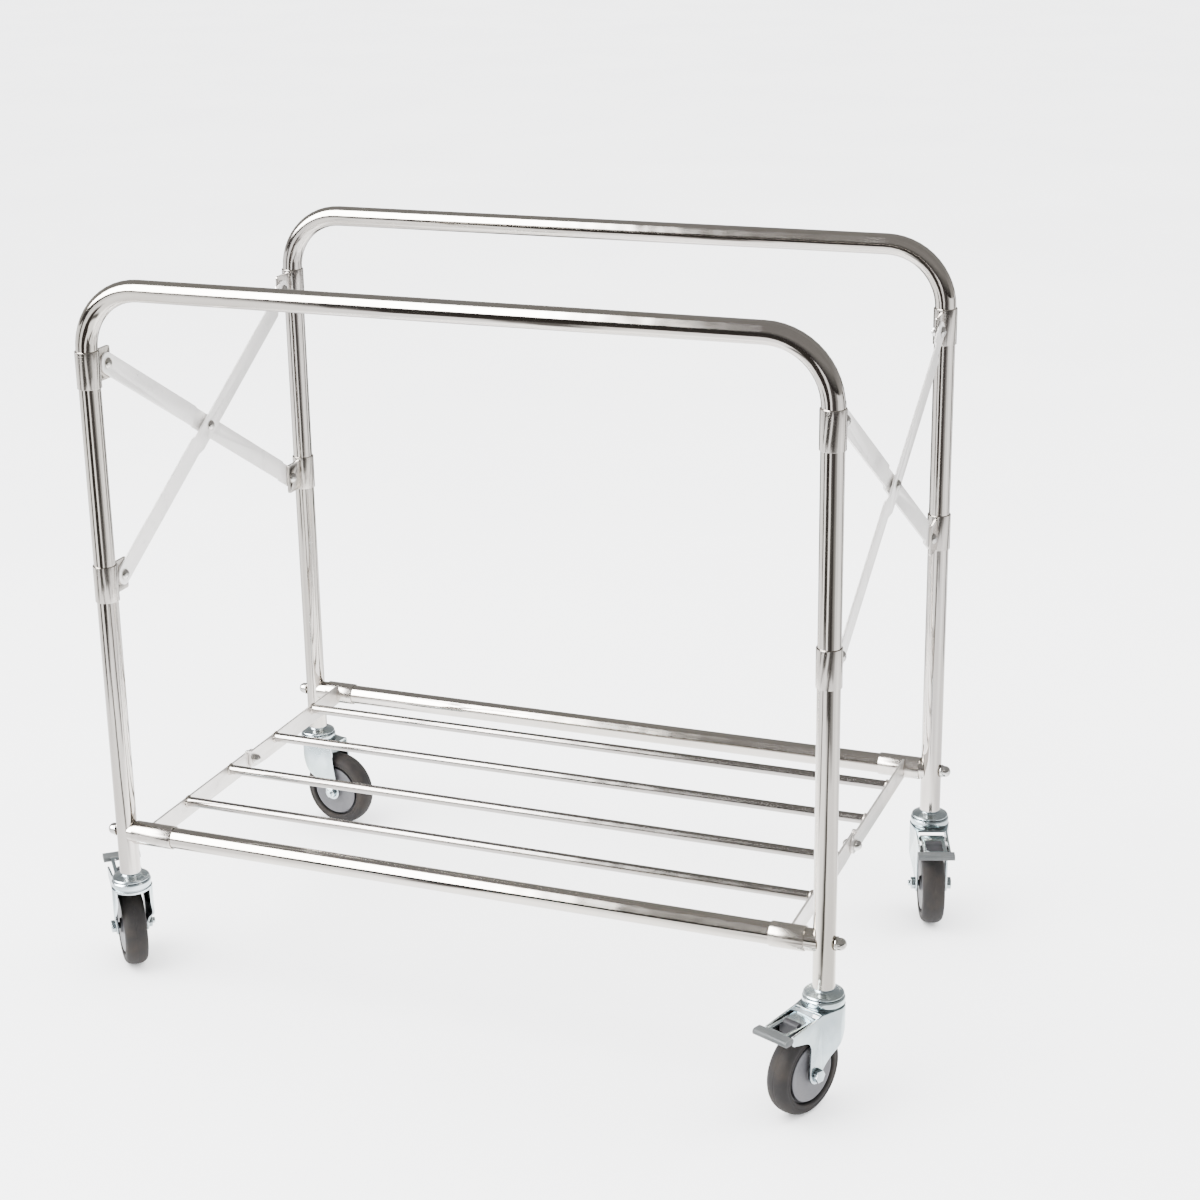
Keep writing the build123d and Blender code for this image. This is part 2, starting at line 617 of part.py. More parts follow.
def hub():
    """Core with a long hub, two flat discs and a groove next to the tyre."""
    half = TREAD_W / 2
    profile = [
        (AXLE_R + BOLT_CLEAR, HUB_BOSS[1]), HUB_BOSS, (HUB_BOSS[0] + 0.5, half - HUB_STEP),
        (HUB_DISC_R, half - HUB_STEP - 0.5), (HUB_R - 1, half - 1),
        (HUB_R, half - 1), (HUB_R, half - 3), (TYRE_BORE_R, half - 3),
    ]
    mirrored = [(radius, -place) for radius, place in reversed(profile)]
    return ring_of(profile + mirrored)


def pedal():
    """Brake lever: a plate between the fork guards, turning on a cross pin, with a window."""
    pivot_x, pivot_z = PEDAL_PIVOT
    under = PEDAL_Z - LEVER_T
    pin_half = leg_inner(pivot_x + PEDAL_PIN_R) - SHOE_GAP
    with BuildPart() as lever:
        with BuildSketch(Plane.XZ.offset(-PEDAL_HALF_W)):
            with BuildLine():
                Polyline(
                    (pivot_x - 2, pivot_z), (pivot_x + 2, pivot_z), (30, under),
                    (PEDAL_END, under), (PEDAL_END, PEDAL_Z), (29, PEDAL_Z),
                    (pivot_x - 2, pivot_z + 2), close=True,
                )
            make_face()
        extrude(amount=2 * PEDAL_HALF_W)
        with BuildSketch(Plane.XY.offset(pivot_z)):
            with Locations((sum(WINDOW) / 2, 0)):
                RectangleRounded(WINDOW[1] - WINDOW[0], 2 * WINDOW_HALF_W, 3)
        extrude(amount=2 * (PEDAL_Z - pivot_z), mode=Mode.SUBTRACT)
        with Locations((pivot_x, 0, pivot_z)):
            Cylinder(PEDAL_PIN_R, 2 * pin_half, rotation=(90, 0, 0))
    return lever.part


def brake_shoe():
    """Block that pokes through the lever's window, with a lip under the lever."""
    start = WINDOW[0] + 0.2
    end = start + SHOE_LEN
    crown = SHOE_LEN / 2
    block_half = WINDOW_HALF_W - SHOE_GAP
    lip_half = PEDAL_HALF_W - SHOE_LIP
    with BuildPart() as shoe:
        with BuildSketch(Plane.XZ.offset(-block_half)):
            with BuildLine():
                Line((start, PEDAL_Z), (start, SHOE_LOW + 1.5))
                Line((start, SHOE_LOW + 1.5), (end, SHOE_LOW))
                Line((end, SHOE_LOW), (end, PEDAL_Z))
                ThreePointArc(
                    (end, PEDAL_Z), (start + crown, PEDAL_Z + 0.6 * crown), (start, PEDAL_Z)
                )
            make_face()
        extrude(amount=2 * block_half)
        with BuildSketch(Plane.XZ.offset(-lip_half)):
            with Locations((start + crown, (PEDAL_Z - LEVER_T + SHOE_LOW) / 2 + 1)):
                Rectangle(SHOE_LEN, PEDAL_Z - 2 * LEVER_T - SHOE_LOW)
        extrude(amount=2 * lip_half)
    return shoe.part


def pedal_grip():
    """Moulded bar that closes over the lever's tip."""
    middle = (GRIP_START + GRIP_END) / 2
    with BuildPart() as grip:
        with BuildSketch(Plane.XZ.offset(-GRIP_HALF_W)):
            with Locations((middle, PEDAL_Z - GRIP_H / 3)):
                RectangleRounded(GRIP_END - GRIP_START, GRIP_H, GRIP_EDGE_R)
        extrude(amount=2 * GRIP_HALF_W)
        with BuildSketch(Plane.XZ.offset(-PEDAL_HALF_W)):
            with Locations(((GRIP_START + PEDAL_END) / 2, PEDAL_Z - LEVER_T / 2)):
                Rectangle(PEDAL_END - GRIP_START, LEVER_T)
        extrude(amount=2 * PEDAL_HALF_W, mode=Mode.SUBTRACT)
    return grip.part


wheel_parts = {"axle": axle(), "tyre": tyre(), "hub": hub()}
forks = {True: fork(True), False: fork(False)}
pedal_parts = {"pedal": pedal(), "brake_shoe": brake_shoe(), "pedal_grip": pedal_grip()}
lever_axis = Axis((PEDAL_PIVOT[0], 0, PEDAL_PIVOT[1]), (0, 1, 0))
for name, (end, side, heading, brake) in CASTERS.items():
    place = Location((end * LEG_X, side * LEG_Y, 0), (0, 0, heading))
    save(forks[brake is not None].moved(place), f"{name}_fork")
    for label, part in wheel_parts.items():
        save(part.moved(place), f"{name}_{label}")
    if brake is None:
        continue
    for label, part in pedal_parts.items():
        save(part.rotate(lever_axis, -brake).moved(place), f"{name}_{label}")
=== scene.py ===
import json
import random
from math import cos, pi, radians, sin

import bmesh
import bpy
from mathutils import Matrix, Vector


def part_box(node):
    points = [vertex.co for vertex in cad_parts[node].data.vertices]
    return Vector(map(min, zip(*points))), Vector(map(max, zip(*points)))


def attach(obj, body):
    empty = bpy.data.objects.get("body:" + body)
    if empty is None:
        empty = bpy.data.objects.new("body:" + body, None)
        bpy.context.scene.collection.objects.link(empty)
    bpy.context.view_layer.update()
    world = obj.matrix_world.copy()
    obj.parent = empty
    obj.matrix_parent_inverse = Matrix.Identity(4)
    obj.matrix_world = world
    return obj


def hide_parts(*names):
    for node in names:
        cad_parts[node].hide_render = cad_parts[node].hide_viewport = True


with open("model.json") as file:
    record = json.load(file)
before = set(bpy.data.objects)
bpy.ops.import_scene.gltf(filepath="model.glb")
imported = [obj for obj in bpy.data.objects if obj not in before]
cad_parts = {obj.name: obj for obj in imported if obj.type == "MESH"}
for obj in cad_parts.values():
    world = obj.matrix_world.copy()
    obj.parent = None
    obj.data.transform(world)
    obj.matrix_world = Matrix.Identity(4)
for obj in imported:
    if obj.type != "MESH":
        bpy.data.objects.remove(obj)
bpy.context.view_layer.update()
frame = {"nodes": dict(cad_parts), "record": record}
nodes = frame["nodes"]

# ---- what the frame says, in metres ----
FRONT_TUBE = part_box("front_frame_tube")
REAR_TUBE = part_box("rear_frame_tube")
TUBE_R = (FRONT_TUBE[1].y - FRONT_TUBE[0].y) / 2
LEG_X = FRONT_TUBE[1].x - TUBE_R
FRONT_Y = (FRONT_TUBE[0].y + FRONT_TUBE[1].y) / 2
REAR_Y = (REAR_TUBE[0].y + REAR_TUBE[1].y) / 2
CORNERS = {
    "front_left": (-LEG_X, FRONT_Y), "front_right": (LEG_X, FRONT_Y),
    "rear_left": (-LEG_X, REAR_Y), "rear_right": (LEG_X, REAR_Y),
}
SLOTS = {entry["node"]: entry["material_slot"] for entry in frame["record"]["subparts"]}
BODY_OF = {
    node: body
    for body, members in frame["record"]["behaviour"]["bodies"].items() for node in members
}

# ---- camera: stands in front of the right end and looks down along the cart ----
CAMERA_PLACE = Vector((1.033, -2.461, 1.370))
CAMERA_YAW = radians(21.96)
CAMERA_PITCH = radians(18.32)
CAMERA_ROLL = radians(-1.17)
CAMERA_LENS = 71.1            # millimetres, on a sensor 36 mm wide
CAMERA_SENSOR = 36
CAMERA_SHIFT = (0.030, -0.026)

# ---- white paper, and past it a darker room as (place, darkness) stops round the cart, painted into the floor's colour for glossy rays only: a painted reflection ----
# A place is a share of half a turn about the cart's middle; the other half has the same stops.
PAPER = ((0.88, 0.88, 0.88), (0.84, 0.84, 0.845))
PAPER_REACH = 60
# painted reflection: colours that only glossy rays see on the floor
ROOM_FLOOR = (0.010, 0.009, 0.008)
ROOM_FAR = (
    (0.0, 0.3), (0.10, 0.55), (0.155, 0.7), (0.178, 1), (0.222, 1), (0.25, 0.5), (0.32, 0.4),
    (0.345, 1), (0.488, 1), (0.51, 0.25), (0.545, 0.25), (0.575, 0.97), (0.70, 1), (0.83, 0.85),
    (0.88, 0.3), (1.0, 0.3),
)
ROOM_NEAR = (
    (0.0, 0.45), (0.10, 0.6), (0.36, 0.5), (0.385, 0.97), (0.41, 0.97), (0.435, 0.45), (0.60, 0.5),
    (0.665, 0.97), (0.70, 1), (0.725, 0.55), (0.90, 0.6), (1.0, 0.45),
)
FAR_EDGE = (1.1, 1.5)         # metres from the middle over which each darkness fades in
NEAR_EDGE = (0.45, 0.75)
EDGE_WAVER = 0.25             # metres that those edges wander
SIDE_WAVER = 0.02             # share of half a turn that the stops wander

# ---- light, and the room that reflections see; ranges are parts of a unit direction ----
ROOM_LIGHT = (5.0, 5.02, 5.06)
SOFT_BOX = (30.0, 30.0, 30.0)
SOFT_BOX_X = (-0.37, -0.33)
SOFT_BOX_Y = (-0.22, -0.12)
SOFT_BOX_Z = (0.16, 0.24)
WALL_BEHIND = (0.55, 0.535, 0.52)
WALL_AHEAD = (0.035, 0.032, 0.030)
WALL_TURN = (-0.25, 0.1)      # Y, from the dark wall ahead of the cart to the pale one behind it
CEILING = (0.34, 0.33, 0.32)
CEILING_RISE = (0.02, 0.45)   # Z, from the walls to the ceiling
LIGHTS = {                    # place, what it points at, size, power in watts
    "key": ((-1.6, -1.2, 3.2), (0, 0, 0.3), (2.4, 2.4), 240),
    "fill": ((2.6, 1.4, 2.4), (0, 0, 0.4), (2.0, 2.0), 80),
}

# ---- finishes ----
AO_SAMPLES = 6                # rays that find recesses and edges
ALONG_X = (0.012, 1, 1)       # stretches a noise into lines along an axis
ALONG_Z = (1, 1, 0.012)
ALONG_TUBE = (0.03, 1, 0.03)
ALONG_BRACE = (1, 0.03, 0.06)
ALONG_Y = (1, 0.03, 1)
EVEN = (1, 1, 1)
POLISH_LINE = (0.36, 0.33, 0.31)
WARM_SHIFT = (0.93, 0.93, 0.87)

# ---- shapes of the detailed pieces, in metres ----
MERGE = 0.000002              # vertices nearer than this become one
FLAT_ANGLE = radians(1.5)     # faces that meet at less than this become one
SHARP_ANGLE = radians(34)     # edges that turn more are rounded, or stay sharp on a lathed piece
EDGE_SEGMENTS = 3
EDGE_ROUNDING = {             # how far the edges of each kind of part are rounded
    "fork": 0.0007, "pedal": 0.0004, "pedal_grip": 0.0010, "brake_shoe": 0.0009, "axle": 0.0007,
    "slider": 0.0005, "upper_sleeves": 0.0005, "collars": 0.0005,
    "plain_bar": 0.0004, "stop_bar": 0.0004, "brace_down_rear": 0.0004, "brace_down_front": 0.0004,
    "slider_bolt": 0.0004, "centre_bolt": 0.0004, "frame_bolts": 0.0004,
    "caster_stems": 0.0005, "hinge_domes": 0.0004,
}
SHELF_BARS = ("plain_bar", "stop_bar")
WHEEL_STEPS = 96
TYRE_SIDE = (                 # (radius, side) from the bore over the sidewall to the tread
    (0.0356, 0.0100), (0.0362, 0.0124), (0.0372, 0.0136), (0.0386, 0.0139), (0.0396, 0.0136),
    (0.0404, 0.0133), (0.0412, 0.0134), (0.0424, 0.0136), (0.0440, 0.0132), (0.0456, 0.0124),
    (0.0470, 0.0110), (0.0482, 0.0092), (0.0491, 0.0070), (0.0497, 0.0044),
)
TYRE_CROWN = (                # (radius less the wheel's, side) with the parting line in the middle
    (-0.0001, 0.0018), (0, 0.0006), (-0.0002, 0.0002),
)
HUB_SIDE = (                  # (radius, side) from the boss over the dished disc to the bead ring
    (0.00412, 0.0145), (0.0080, 0.0145), (0.0087, 0.0142), (0.0090, 0.0134), (0.0094, 0.0125),
    (0.0106, 0.0120), (0.0180, 0.0118), (0.0236, 0.0119), (0.0262, 0.0122), (0.0296, 0.0128),
    (0.0314, 0.0130), (0.0325, 0.0127), (0.0330, 0.0118), (0.0331, 0.0092), (0.0334, 0.0088),
    (0.0350, 0.0088), (0.03545, 0.0086),
)
WELD_STEPS = 48
WELD_BEAD = (                 # (radius less the rod's, distance from the bar)
    (-0.0004, -0.0002), (0.0017, -0.0002), (0.0015, 0.0008), (0.0008, 0.0018), (-0.0004, 0.0024),
)
WELD_WAVES = 5
WELD_RIPPLE = 0.00022


# ---- node helpers ----
class Nodes:
    """Small wrapper that adds and links shader nodes."""

    def __init__(self, tree):
        self.tree = tree

    def add(self, kind, **settings):
        node = self.tree.nodes.new(kind)
        for name, value in settings.items():
            setattr(node, name, value)
        return node

    def link(self, source, target):
        self.tree.links.new(source, target)

    def coords(self, scale):
        """Object coordinates stretched by a scale for each axis."""
        place = self.add("ShaderNodeTexCoord")
        stretch = self.add("ShaderNodeMapping")
        stretch.inputs["Scale"].default_value = scale
        self.link(place.outputs["Object"], stretch.inputs["Vector"])
        return stretch.outputs["Vector"]

    def noise(self, scale, stretch=EVEN, detail=3.0, rough=0.55):
        node = self.add("ShaderNodeTexNoise")
        node.inputs["Scale"].default_value = scale
        node.inputs["Detail"].default_value = detail
        node.inputs["Roughness"].default_value = rough
        self.link(self.coords(stretch), node.inputs["Vector"])
        return node.outputs["Fac"]

    def spread(self, value, low, high, start=0.3, stop=0.7):
        """Value taken from start..stop to low..high."""
        node = self.add("ShaderNodeMapRange")
        node.inputs["From Min"].default_value = start
        node.inputs["From Max"].default_value = stop
        node.inputs["To Min"].default_value = low
        node.inputs["To Max"].default_value = high
        self.link(value, node.inputs["Value"])
        return node.outputs["Result"]

    def blend(self, factor, first, second):
        """Colour that goes from first to second with factor."""
        node = self.add("ShaderNodeMix", data_type="RGBA")
        for socket, value in (("A", first), ("B", second)):
            target = [s for s in node.inputs if s.name == socket and s.type == "RGBA"][0]
            if isinstance(value, tuple):
                target.default_value = (*value, 1)
            else:
                self.link(value, target)
        self.link(factor, node.inputs["Factor"])
        return [s for s in node.outputs if s.type == "RGBA"][0]

    def combine(self, first, second, operation="ADD"):
        node = self.add("ShaderNodeMath", operation=operation)
        for index, value in enumerate((first, second)):
            if isinstance(value, (int, float)):
                node.inputs[index].default_value = value
            else:
                self.link(value, node.inputs[index])
        return node.outputs[0]

    def ramp(self, value, stops):
        """Brightness read from (place, brightness) stops."""
        node = self.add("ShaderNodeValToRGB")
        band = node.color_ramp.elements
        while len(band) < len(stops):
            band.new(0.5)
        for mark, (place, level) in zip(band, stops):
            mark.position = place
            mark.color = (level, level, level, 1)
        self.link(value, node.inputs["Fac"])
        return node.outputs["Color"]

    def openness(self, reach, low, high):
        """1 out in the open, falling to 0 deep in a recess that is about reach across; the mask for
        the painted shade in hollows.
        """
        node = self.add("ShaderNodeAmbientOcclusion", samples=AO_SAMPLES)
        node.inputs["Distance"].default_value = reach
        return self.spread(node.outputs["AO"], 0, 1, low, high)

    def edges(self, reach):
        """1 along outside edges and 0 on open faces."""
        node = self.add("ShaderNodeAmbientOcclusion", samples=AO_SAMPLES, inside=True)
        node.inputs["Distance"].default_value = reach
        return self.spread(node.outputs["AO"], 1, 0, 0.55, 0.9)

    def bump(self, height, distance, base=None):
        node = self.add("ShaderNodeBump")
        node.inputs["Distance"].default_value = distance
        node.inputs["Strength"].default_value = 1.0
        self.link(height, node.inputs["Height"])
        if base is not None:
            self.link(base, node.inputs["Normal"])
        return node.outputs["Normal"]


def new_material(name, metallic):
    material = bpy.data.materials.new(name)
    material.use_nodes = True
    tree = Nodes(material.node_tree)
    shader = material.node_tree.nodes["Principled BSDF"]
    shader.inputs["Metallic"].default_value = metallic
    return material, tree, shader


def scaled(colour, factor):
    return tuple(factor * c for c in colour)


# ---- materials ----
def polished_steel(name, grain, colour=(0.60, 0.565, 0.535), rough=(0.04, 0.09)):
    """Bright stainless: polishing lines along the grain, hand smears and faint dents."""
    material, tree, shader = new_material(name, 1.0)
    lines = tree.noise(260, grain, detail=2.0)
    smears = tree.noise(9, detail=4.0)
    warm = tree.noise(3.2, detail=2.0)
    warmed = tuple(shift * c for shift, c in zip(WARM_SHIFT, colour))
    tone = tree.blend(tree.spread(warm, 0, 1), colour, warmed)
    lined = tree.blend(tree.spread(lines, 0, 0.4), tone, POLISH_LINE)
    tree.link(lined, shader.inputs["Base Color"])
    level = tree.combine(tree.spread(smears, *rough), tree.spread(lines, 0, 0.05))
    tree.link(level, shader.inputs["Roughness"])
    dents = tree.bump(tree.noise(24, detail=1.0), 0.0003)
    tree.link(tree.bump(lines, 0.00002, dents), shader.inputs["Normal"])
    return material


def brushed_bar(name, grain, pale, stained, metallic):
    """Flat bar: rolled surface with brushed lines, small stains and scratches."""
    material, tree, shader = new_material(name, metallic)
    lines = tree.noise(420, grain)
    stains = tree.noise(38, detail=5.0, rough=0.65)
    tone = tree.blend(tree.spread(stains, 0, 1, 0.56, 0.72), pale, stained)
    ruled = tree.blend(tree.spread(lines, 0, 0.3), tone, scaled(pale, 0.88))
    tree.link(ruled, shader.inputs["Base Color"])
    level = tree.combine(tree.spread(lines, 0.26, 0.36), tree.spread(stains, 0, 0.12))
    tree.link(level, shader.inputs["Roughness"])
    tree.link(tree.bump(lines, 0.00004), shader.inputs["Normal"])
    return material


def zinc_plate():
    """Blue zinc plating: cloudy green tints, bright worn edges and painted shade that darkens the
    hollows.
    """
    material, tree, shader = new_material("zinc", 1.0)
    clouds = tree.noise(46, detail=4.0)
    tint = tree.noise(17, detail=2.0)
    cool = tree.blend(tree.spread(clouds, 0, 1), (0.58, 0.665, 0.70), (0.45, 0.53, 0.565))
    tinted = tree.blend(tree.spread(tint, 0, 0.6, 0.5, 0.75), cool, (0.55, 0.63, 0.57))
    worn = tree.blend(tree.edges(0.0012), tinted, (0.80, 0.84, 0.86))
    # painted shade: hollows that the AO mask finds are darkened to near black
    recess_shade = tree.blend(tree.openness(0.03, 0.25, 0.8), (0.035, 0.042, 0.045), worn)
    tree.link(recess_shade, shader.inputs["Base Color"])
    tree.link(tree.spread(clouds, 0.14, 0.28), shader.inputs["Roughness"])
    pits = tree.bump(tree.noise(420, detail=2.0), 0.00003)
    waves = tree.bump(tree.noise(60, detail=1.0), 0.0002, pits)
    tree.link(waves, shader.inputs["Normal"])
    return material


def moulded(name, colour, worn, rough, specular):
    """Plastic or rubber: fine moulded grain, dusty patches, rubbed edges and painted shade that
    darkens the grooves.
    """
    material, tree, shader = new_material(name, 0.0)
    shader.inputs["Specular IOR Level"].default_value = specular
    dust = tree.noise(34, detail=5.0, rough=0.6)
    grain = tree.noise(900, detail=2.0)
    tone = tree.blend(tree.spread(dust, 0, 1, 0.42, 0.72), colour, worn)
    grained = tree.blend(tree.spread(grain, 0, 0.25), tone, scaled(colour, 0.7))
    rubbed = tree.blend(tree.edges(0.0010), grained, scaled(worn, 1.5))
    # painted shade: grooves and recesses that the AO mask finds are darkened to near black
    recess_shade = tree.blend(tree.openness(0.006, 0.3, 0.85), (0.003, 0.003, 0.003), rubbed)
    tree.link(recess_shade, shader.inputs["Base Color"])
    tree.link(tree.spread(dust, rough - 0.06, rough + 0.1), shader.inputs["Roughness"])
    tree.link(tree.bump(grain, 0.00003), shader.inputs["Normal"])
    return material


def floor_finish():
    """White paper; a few steps away, glossy rays see a painted darker room floor and furniture, as
    painted reflections, while every other ray sees pale paper.
    """
    material, tree, shader = new_material("floor", 0.0)
    patches = tree.noise(1.4, detail=4.0)
    pale = tree.blend(tree.spread(patches, 0, 1), *PAPER)
    place = tree.add("ShaderNodeTexCoord")
    split = tree.add("ShaderNodeSeparateXYZ")
    tree.link(place.outputs["Object"], split.inputs["Vector"])
    reach = tree.add("ShaderNodeVectorMath", operation="LENGTH")
    tree.link(place.outputs["Object"], reach.inputs[0])
    edge_waver = tree.spread(tree.noise(0.9), -EDGE_WAVER, EDGE_WAVER, 0, 1)
    away = tree.combine(reach.outputs["Value"], edge_waver)
    angle = tree.combine(split.outputs["Y"], split.outputs["X"], "ARCTAN2")
    side_waver = tree.spread(tree.noise(1.3), -SIDE_WAVER, SIDE_WAVER, 0, 1)
    turn = tree.combine(tree.combine(angle, 1 / pi, "MULTIPLY"), side_waver)
    around = tree.combine(turn, 0, "FRACT")
    bands = [
        tree.combine(tree.ramp(around, room), tree.spread(away, 0, 1, *edge), "MULTIPLY")
        for room, edge in ((ROOM_FAR, FAR_EDGE), (ROOM_NEAR, NEAR_EDGE))
    ]
    ray = tree.add("ShaderNodeLightPath")
    # painted reflection: the dark room bands show only in glossy rays; camera and lamp rays see the
    # pale paper
    dark = tree.combine(tree.combine(*bands, "MAXIMUM"), ray.outputs["Is Glossy Ray"], "MULTIPLY")
    tree.link(tree.blend(dark, pale, ROOM_FLOOR), shader.inputs["Base Color"])
    shader.inputs["Roughness"].default_value = 0.6
    shader.inputs["Specular IOR Level"].default_value = 0.0
    return material


MATERIALS = {
    "polished_tube": polished_steel("polished_tube", ALONG_TUBE),
    "rod_steel": polished_steel("rod_steel", ALONG_X, (0.34, 0.325, 0.315), (0.06, 0.12)),
    "collar_steel": polished_steel("collar_steel", ALONG_Z, rough=(0.12, 0.22)),
    "bolt_steel": polished_steel("bolt_steel", EVEN, (0.68, 0.67, 0.66), (0.08, 0.16)),
    "flat_bar": brushed_bar(
        "flat_bar", ALONG_BRACE, (0.82, 0.80, 0.78), (0.66, 0.645, 0.625), 0.7
    ),
    "shelf_bar": brushed_bar("shelf_bar", ALONG_Y, (0.66, 0.63, 0.60), (0.52, 0.50, 0.48), 0.9),
    "weld_steel": polished_steel("weld_steel", EVEN, (0.46, 0.42, 0.38), (0.2, 0.34)),
    "zinc": zinc_plate(),
    "tyre_rubber": moulded("tyre_rubber", (0.013, 0.012, 0.012), (0.024, 0.020, 0.017), 0.62, 0.14),
    "hub_plastic": moulded("hub_plastic", (0.066, 0.066, 0.072), (0.088, 0.086, 0.090), 0.46, 0.3),
    "shoe_rubber": moulded("shoe_rubber", (0.018, 0.018, 0.020), (0.030, 0.030, 0.032), 0.45, 0.2),
    "grip_plastic": moulded("grip_plastic", (0.046, 0.050, 0.051), (0.064, 0.067, 0.067), 0.42, 0.3),
}


# ---- detailed pieces ----
def place_piece(piece, body, slot, *replaced, finish=None):
    """Put a new piece in the scene on its body, with its finish."""
    bpy.context.scene.collection.objects.link(piece)
    piece.data.materials.clear()
    piece.data.materials.append(MATERIALS[finish or slot])
    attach(piece, body)
    if replaced:
        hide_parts(*replaced)


def rounded_copy(node, width, finish=None):
    """The node's shape with clean faces and every sharp edge rounded."""
    mesh = bpy.data.meshes.new(node + "_rounded")
    shape = bmesh.new()
    shape.from_mesh(nodes[node].data)
    bmesh.ops.remove_doubles(shape, verts=shape.verts, dist=MERGE)
    bmesh.ops.dissolve_limit(
        shape, angle_limit=FLAT_ANGLE, verts=shape.verts, edges=shape.edges, delimit=set()
    )
    shape.to_mesh(mesh)
    shape.free()
    mesh.shade_smooth()
    piece = bpy.data.objects.new(node + "_rounded", mesh)
    bevel = piece.modifiers.new("edges", "BEVEL")
    bevel.width = width
    bevel.segments = EDGE_SEGMENTS
    bevel.limit_method = "ANGLE"
    bevel.angle_limit = SHARP_ANGLE
    bevel.harden_normals = True
    place_piece(piece, BODY_OF[node], SLOTS[node], node, finish=finish)


def lathe(name, profile, origin, axle, steps, ripple=None):
    """Ring of quads from (radius, side) points about a line through origin along axle."""
    shape = bmesh.new()
    turn = Vector((0, 0, 1)).rotation_difference(axle).to_matrix()
    rings = []
    for step in range(steps):
        angle = 2 * pi * step / steps
        swell = ripple(angle) if ripple else 0
        rings.append([
            shape.verts.new(origin + turn @ Vector((
                (radius + swell) * cos(angle), (radius + swell) * sin(angle), place
            )))
            for radius, place in profile
        ])
    count = len(profile)
    for step, ring in enumerate(rings):
        other = rings[(step + 1) % steps]
        for index in range(count):
            after = (index + 1) % count
            shape.faces.new((ring[index], other[index], other[after], ring[after]))
    bmesh.ops.recalc_face_normals(shape, faces=shape.faces)
    mesh = bpy.data.meshes.new(name)
    shape.to_mesh(mesh)
    shape.free()
    mesh.shade_smooth()
    mesh.set_sharp_from_angle(angle=SHARP_ANGLE)
    return bpy.data.objects.new(name, mesh)


def add_rounded_copies():
    for node in nodes:
        for kind, width in EDGE_ROUNDING.items():
            if node.endswith("_" + kind):
                rounded_copy(node, width, "shelf_bar" if kind in SHELF_BARS else None)


def mirrored(profile):
    return [*profile, *[(radius, -place) for radius, place in reversed(profile)]]


def add_wheels():
    """Tyre with sidewall step and parting line; hub with dished disc, bead ring and raised boss."""
    for corner, (x, y) in CORNERS.items():
        low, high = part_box(corner + "_tyre")
        centre = (low + high) / 2
        wheel_r = (high.z - low.z) / 2
        out = Vector((centre.x - x, centre.y - y, 0)).normalized()
        axle = Vector((-out.y, out.x, 0))
        crown = [(wheel_r + less, side) for less, side in TYRE_CROWN]
        tyre = lathe(
            corner + "_tyre_moulded", mirrored([*TYRE_SIDE, *crown]), centre, axle, WHEEL_STEPS
        )
        place_piece(tyre, corner + "_wheel", "tyre_rubber", corner + "_tyre")
        hub = lathe(corner + "_hub_moulded", mirrored(HUB_SIDE), centre, axle, WHEEL_STEPS)
        place_piece(hub, corner + "_wheel", "hub_plastic", corner + "_hub")


def bead_ripple(seed):
    """Lumps that a hand-laid weld leaves round a joint, as swelling by angle."""
    draw = random.Random(seed)
    waves = [
        (draw.randint(3, 13), draw.uniform(0, 2 * pi), draw.uniform(0.4, 1))
        for wave in range(WELD_WAVES)
    ]
    return lambda angle: WELD_RIPPLE * sum(
        size * sin(count * angle + turn) for count, turn, size in waves
    )


def add_welds():
    """Weld beads where the shelf rods meet their bars."""
    for half in ("front", "rear"):
        rods = nodes[half + "_shelf_rods"].data
        low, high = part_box(half + "_shelf_rods")
        places = sorted({round(vertex.co.y, 3) for vertex in rods.vertices})
        rod_r = (high.z - low.z) / 2
        height = (low.z + high.z) / 2
        bead = [(rod_r + more, place) for more, place in WELD_BEAD]
        for rod, y in enumerate((places[0] + rod_r, places[-1] - rod_r)):
            for end, x, inward in (("left", low.x, 1), ("right", high.x, -1)):
                piece = lathe(
                    f"{half}_weld_{end}_{rod}", bead, Vector((x, y, height)),
                    Vector((inward, 0, 0)), WELD_STEPS, bead_ripple(f"{half}{end}{rod}"),
                )
                place_piece(piece, half + "_shelf", "rod_steel", finish="weld_steel")


def dress_cad_nodes():
    """Each CAD node gets the finish that the record names for it."""
    for node, slot in SLOTS.items():
        mesh = nodes[node].data
        mesh.materials.clear()
        mesh.materials.append(MATERIALS[slot])
        for face in mesh.polygons:
            face.material_index = 0


# ---- stage ----
def add_camera():
    forward = Vector((
        -sin(CAMERA_YAW) * cos(CAMERA_PITCH), cos(CAMERA_YAW) * cos(CAMERA_PITCH),
        -sin(CAMERA_PITCH),
    ))
    level = Vector((cos(CAMERA_YAW), sin(CAMERA_YAW), 0))
    above = level.cross(forward)
    right = cos(CAMERA_ROLL) * level + sin(CAMERA_ROLL) * above
    up = cos(CAMERA_ROLL) * above - sin(CAMERA_ROLL) * level
    data = bpy.data.cameras.new("camera")
    data.lens = CAMERA_LENS
    data.sensor_width = CAMERA_SENSOR
    data.shift_x, data.shift_y = CAMERA_SHIFT
    camera = bpy.data.objects.new("camera", data)
    bpy.context.scene.collection.objects.link(camera)
    turn = Matrix((right, up, -forward)).transposed().to_4x4()
    camera.matrix_world = Matrix.Translation(CAMERA_PLACE) @ turn
    bpy.context.scene.camera = camera


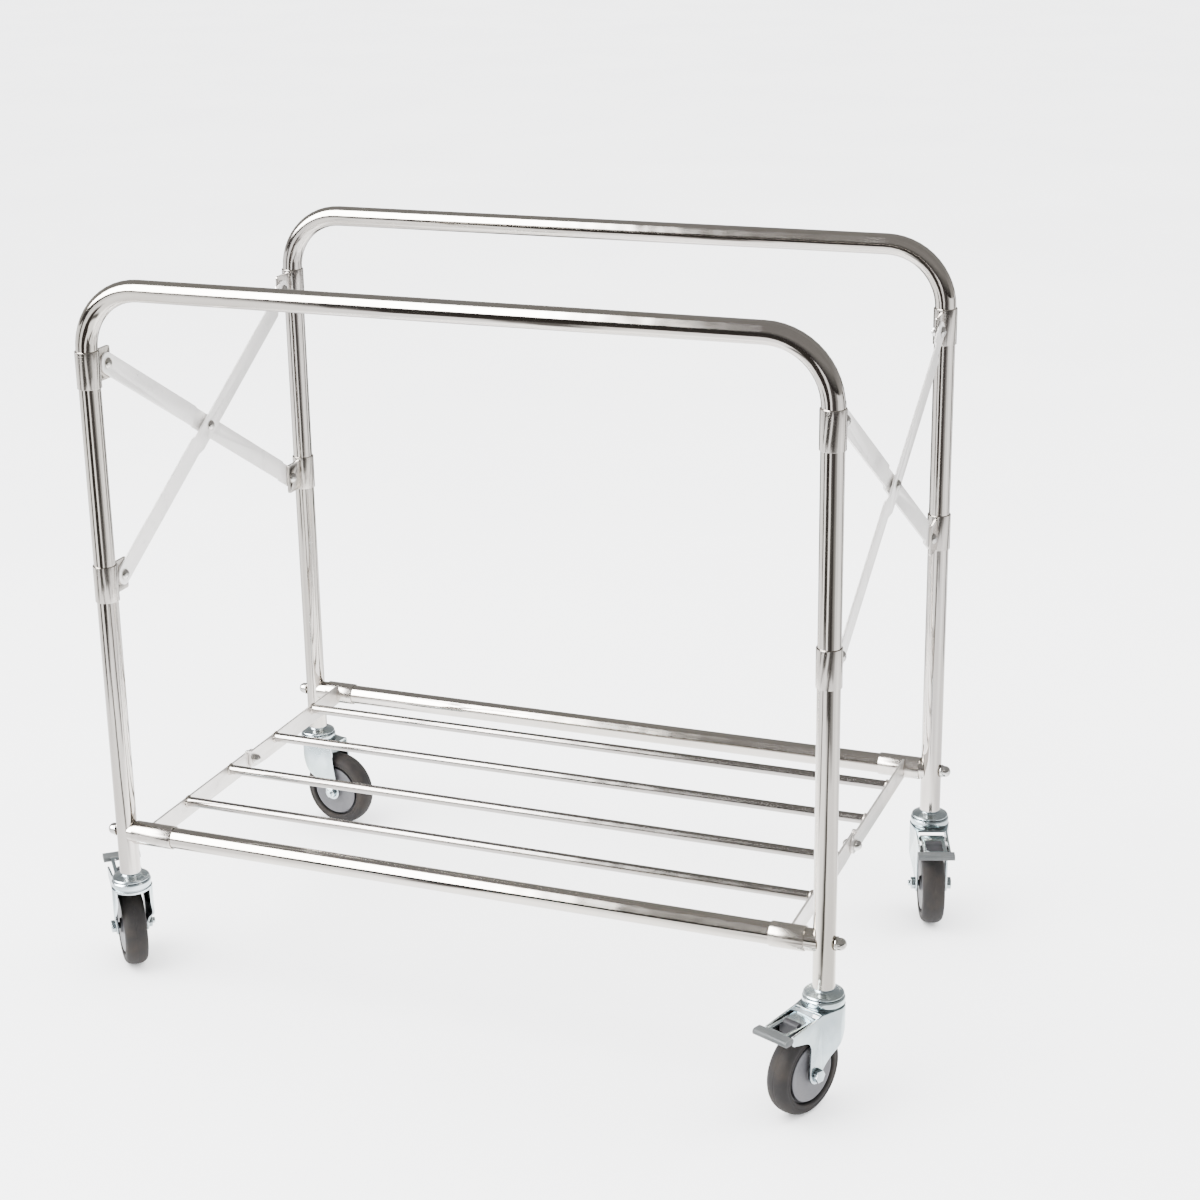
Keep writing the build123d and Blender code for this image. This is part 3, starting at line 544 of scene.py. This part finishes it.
def add_floor():
    mesh = bpy.data.meshes.new("floor")
    corners = [
        (x * PAPER_REACH, y * PAPER_REACH, 0) for x, y in ((-1, -1), (1, -1), (1, 1), (-1, 1))
    ]
    mesh.from_pydata(corners, [], [(0, 1, 2, 3)])
    mesh.materials.append(floor_finish())
    floor = bpy.data.objects.new("floor", mesh)
    bpy.context.scene.collection.objects.link(floor)


def add_lights():
    for name, (place, target, size, power) in LIGHTS.items():
        data = bpy.data.lights.new(name, "AREA")
        data.shape = "RECTANGLE"
        data.size, data.size_y = size
        data.energy = power
        light = bpy.data.objects.new(name, data)
        bpy.context.scene.collection.objects.link(light)
        light.location = place
        light.visible_glossy = False
        aim = Vector(target) - Vector(place)
        light.rotation_euler = aim.to_track_quat("-Z", "Y").to_euler()


def add_world():
    """White room for the light; reflections see a soft box at the front left and a grey room."""
    world = bpy.data.worlds.new("room")
    bpy.context.scene.world = world
    world.use_nodes = True
    tree = Nodes(world.node_tree)
    background = world.node_tree.nodes["Background"]
    place = tree.add("ShaderNodeTexCoord")
    split = tree.add("ShaderNodeSeparateXYZ")
    tree.link(place.outputs["Generated"], split.inputs["Vector"])
    left = tree.spread(split.outputs["X"], 1, 0, *SOFT_BOX_X)
    front = tree.spread(split.outputs["Y"], 1, 0, *SOFT_BOX_Y)
    raised = tree.spread(split.outputs["Z"], 0, 1, *SOFT_BOX_Z)
    box = tree.combine(tree.combine(left, front, "MULTIPLY"), raised, "MULTIPLY")
    level = tree.spread(split.outputs["Z"], 0, 1, *CEILING_RISE)
    ahead = tree.spread(split.outputs["Y"], 1, 0, *WALL_TURN)
    wall = tree.blend(ahead, WALL_BEHIND, WALL_AHEAD)
    seen = tree.blend(box, tree.blend(level, wall, CEILING), SOFT_BOX)
    ray = tree.add("ShaderNodeLightPath")
    lit = tree.blend(ray.outputs["Is Glossy Ray"], ROOM_LIGHT, seen)
    tree.link(lit, background.inputs["Color"])
    background.inputs["Strength"].default_value = 1.0


add_camera()
add_world()
add_floor()
add_lights()
dress_cad_nodes()
add_rounded_copies()
add_wheels()
add_welds()
